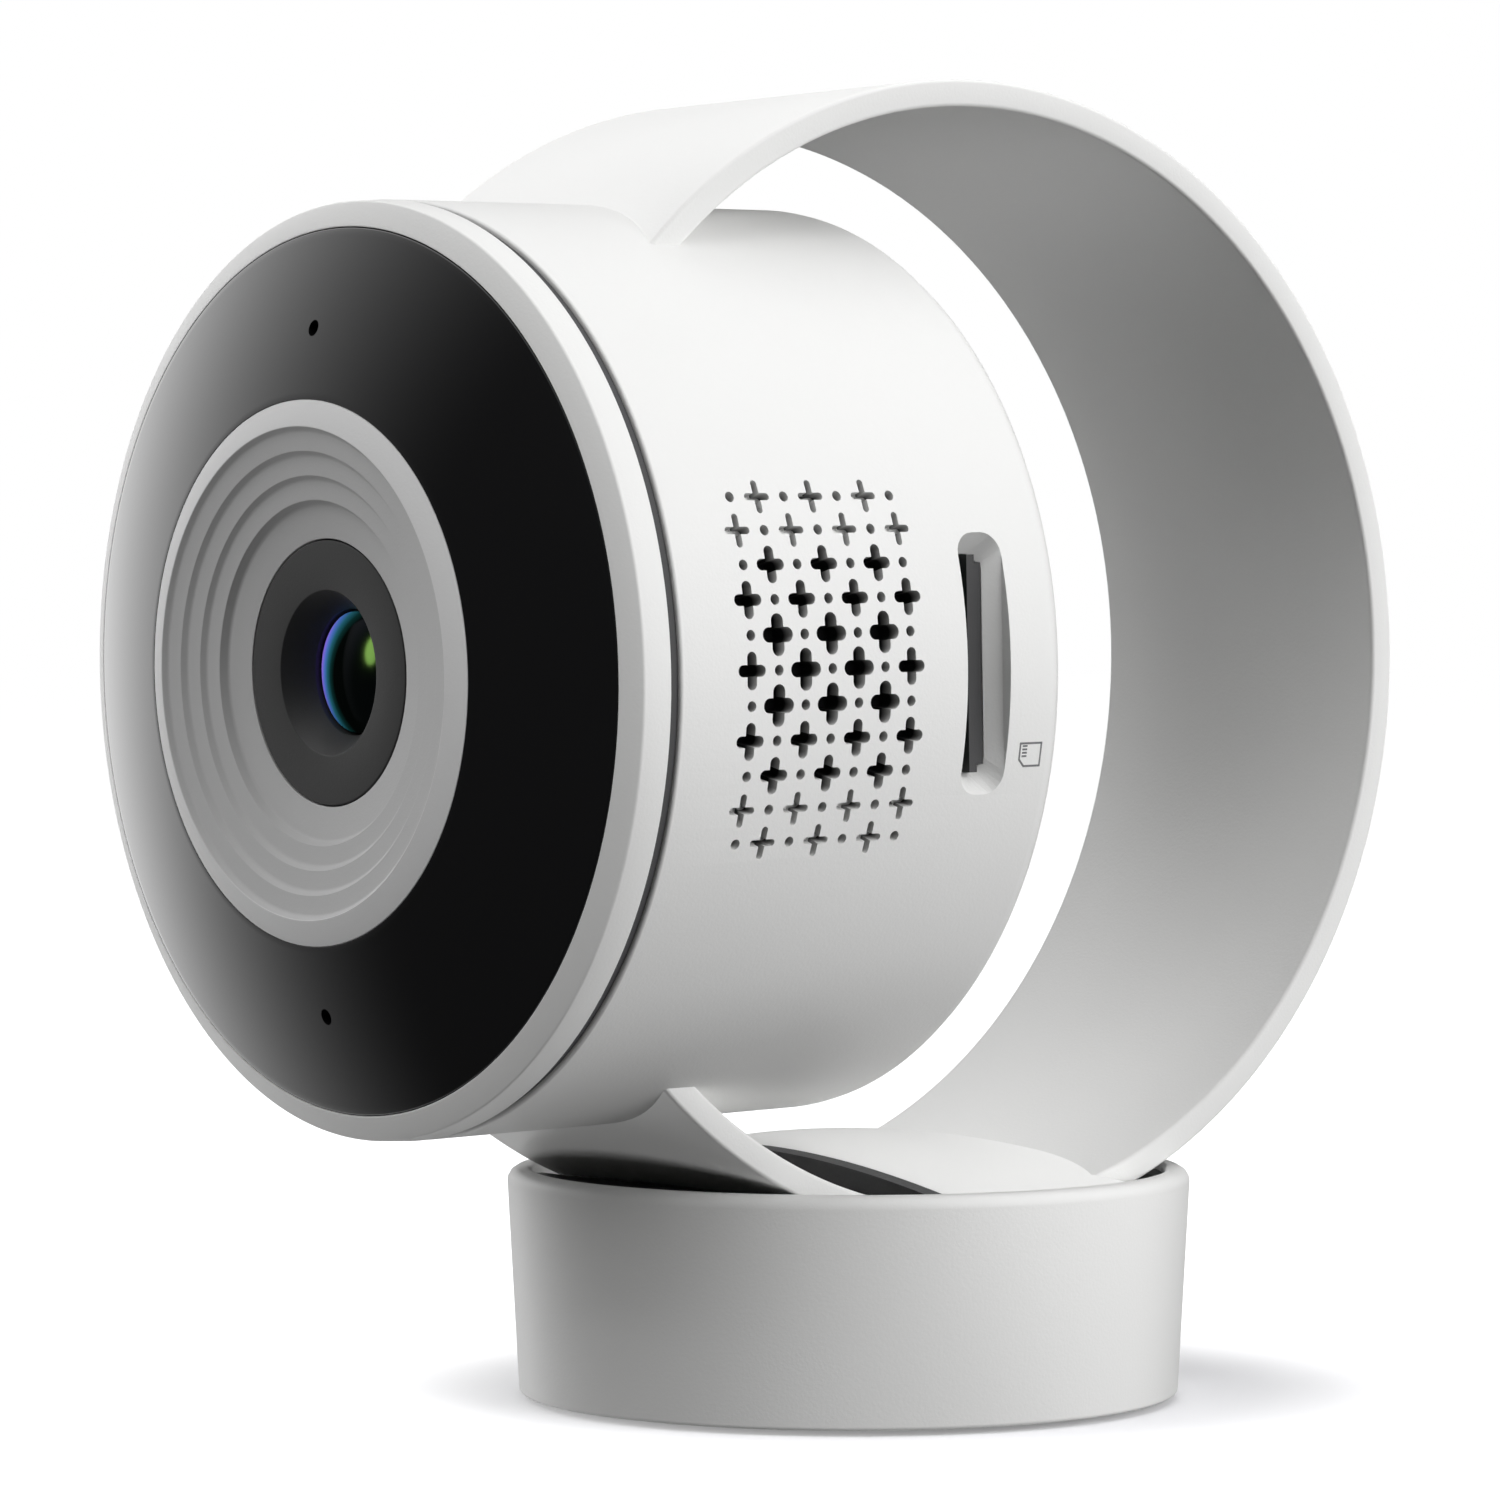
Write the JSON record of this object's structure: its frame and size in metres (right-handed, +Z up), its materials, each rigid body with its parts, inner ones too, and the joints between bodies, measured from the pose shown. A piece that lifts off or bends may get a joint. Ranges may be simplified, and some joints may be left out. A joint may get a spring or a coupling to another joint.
{
  "type": "pet camera",
  "caption": "Drum-shaped pet camera with a domed lens face and speaker grille, held in a flat ring that slides through a weighted round base to tilt.",
  "frame": {"origin": "centre of the base's rubber foot, on the table", "axes": "+Z up, the lens looks along -Y, the grille and the card slot are on +X"},
  "size_m": [0.0638, 0.0884, 0.0937],
  "materials": {
    "white_abs": "satin moulded white",
    "grey_abs": "satin moulded grey",
    "dark_abs": "fine-textured dark grey",
    "black_acrylic": "polished black, lets infrared through",
    "dark_rubber": "matt",
    "zinc_steel": "zinc plated",
    "screw_steel": "zinc plated",
    "coated_glass": "coated, violet and green sheen",
    "filter_glass": "clear and pale blue",
    "board_laminate": "green solder resist",
    "chip_resin": "moulded black",
    "tinned_shield": "bright tin",
    "spacer_brass": "turned",
    "amber_film": "amber film",
    "clear_epoxy": "clear epoxy",
    "magnet_iron": "nickel plated",
    "speaker_cloth": "fine black mesh"
  },
  "bodies": {
    "base": {"base_cup": "white_abs", "base_plate": "dark_abs", "foot_pad": "dark_rubber", "base_weight": "zinc_steel", "base_screws": "screw_steel", "ring_cradle": "dark_abs", "friction_pads": "dark_rubber", "saddle": "white_abs", "slot_wiper": "dark_rubber", "saddle_screws": "screw_steel"},
    "camera": {"ring_band": "white_abs", "band_clamps": "dark_abs", "clamp_screws": "screw_steel", "head_shell": "white_abs", "front_bezel": "white_abs", "seam_gasket": "dark_rubber", "front_panel": "black_acrylic", "trim_ring": "grey_abs", "lens_hood": "dark_abs", "lens_front": "coated_glass", "lens_barrel": "dark_abs", "lens_rear": "coated_glass", "lens_mount": "dark_abs", "filter_solenoid": "dark_abs", "camera_board": "board_laminate", "image_sensor": "chip_resin", "board_spacers": "spacer_brass", "main_board": "board_laminate", "board_screws": "screw_steel", "main_chip": "chip_resin", "wifi_module": "tinned_shield", "antenna": "amber_film", "ribbon_cable": "amber_film", "card_socket": "chip_resin", "ir_board": "board_laminate", "ir_leds": "clear_epoxy", "mic_boot": "dark_rubber", "microphone": "tinned_shield", "light_sensor": "clear_epoxy", "speaker_frame": "dark_abs", "speaker_cone": "amber_film", "speaker_magnet": "magnet_iron", "speaker_gasket": "dark_rubber", "speaker_mesh": "speaker_cloth", "power_inlet": "tinned_shield", "reset_switch": "chip_resin"},
    "night_filter": {"filter_frame": "dark_abs", "filter_glass": "filter_glass"},
    "reset": {"reset_button": "grey_abs"}
  },
  "joints": [
    {"name": "ring_tilt", "type": "hinge", "parent": "base", "child": "camera", "pos_m": [0, 0, 0.05325], "axis": [1, 0, 0], "range_deg": [-60, 7]},
    {"name": "filter_shift", "type": "slide", "parent": "camera", "child": "night_filter", "axis": [1, 0, 0], "range_m": [0, 0.006]},
    {"name": "reset_press", "type": "slide", "parent": "camera", "child": "reset", "axis": [0, -0.9998, -0.0209], "range_m": [0, 0.0005], "stiffness_N_per_m": 600}
  ]
}
